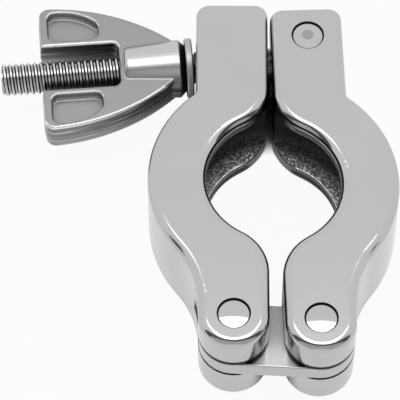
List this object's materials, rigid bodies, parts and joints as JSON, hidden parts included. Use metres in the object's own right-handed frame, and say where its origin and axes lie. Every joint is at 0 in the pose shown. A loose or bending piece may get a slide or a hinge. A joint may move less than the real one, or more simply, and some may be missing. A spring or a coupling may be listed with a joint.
{
  "type": "flange clamp",
  "caption": "Hinged ring clamp for small vacuum flanges: cast jaws on a link plate, closed by a swing-out eye bolt with a washer and wing nut.",
  "frame": {"origin": "centre of the left jaw's bore, halfway through the clamp's thickness, lying closed on its rear faces", "axes": "+Z along the bore's axis out of the face with the punched pin, +Y from the hinge pins towards the bolt, +X from the left jaw to the jaw that carries the bolt"},
  "size_m": [0.0719, 0.0741, 0.0188],
  "materials": {
    "cast_jaw": "satin, cast",
    "steel_pin": "satin",
    "link_steel": "satin",
    "bolt_steel": "satin",
    "cast_nut": "satin, cast"
  },
  "bodies": {
    "left_jaw": {"left_jaw": "cast_jaw", "left_hinge_pin": "steel_pin"},
    "link": {"link_plate": "link_steel"},
    "right_jaw": {"right_jaw": "cast_jaw", "right_hinge_pin": "steel_pin", "eye_bolt_pin": "steel_pin"},
    "bolt": {"eye_bolt": "bolt_steel"},
    "washer": {"washer": "bolt_steel"},
    "nut": {"wing_nut": "cast_nut"}
  },
  "joints": [
    {"name": "left_hinge", "type": "hinge", "parent": "left_jaw", "child": "link", "pos_m": [-0.0075, -0.02762, 0], "axis": [0, 0, 1], "range_deg": [-8.01, 0]},
    {"name": "right_hinge", "type": "hinge", "parent": "link", "child": "right_jaw", "pos_m": [0.00748, -0.02843, 0], "axis": [0, 0, 1], "range_deg": [-8.01, 0]},
    {"name": "bolt_swing", "type": "hinge", "parent": "right_jaw", "child": "bolt", "pos_m": [0.0059, 0.02947, 0], "axis": [0, 0, 1], "range_deg": [-185, 0]},
    {"name": "washer_travel", "type": "slide", "parent": "bolt", "child": "washer", "axis": [-0.9965, -0.0837, 0], "range_m": [0, 0.02167]},
    {"name": "nut_spin", "type": "hinge", "parent": "washer", "child": "nut", "pos_m": [-0.01634, 0.02831, 0], "axis": [-0.9965, -0.0837, 0], "range_deg": [0, 6840]}
  ],
  "couplings": [
    {"joint": "washer_travel", "follows": "nut_spin", "m_per_rad": 0.00018144},
    {"joint": "left_hinge", "follows": "nut_spin", "ratio": -0.0011696},
    {"joint": "right_hinge", "follows": "nut_spin", "ratio": -0.0011696}
  ]
}
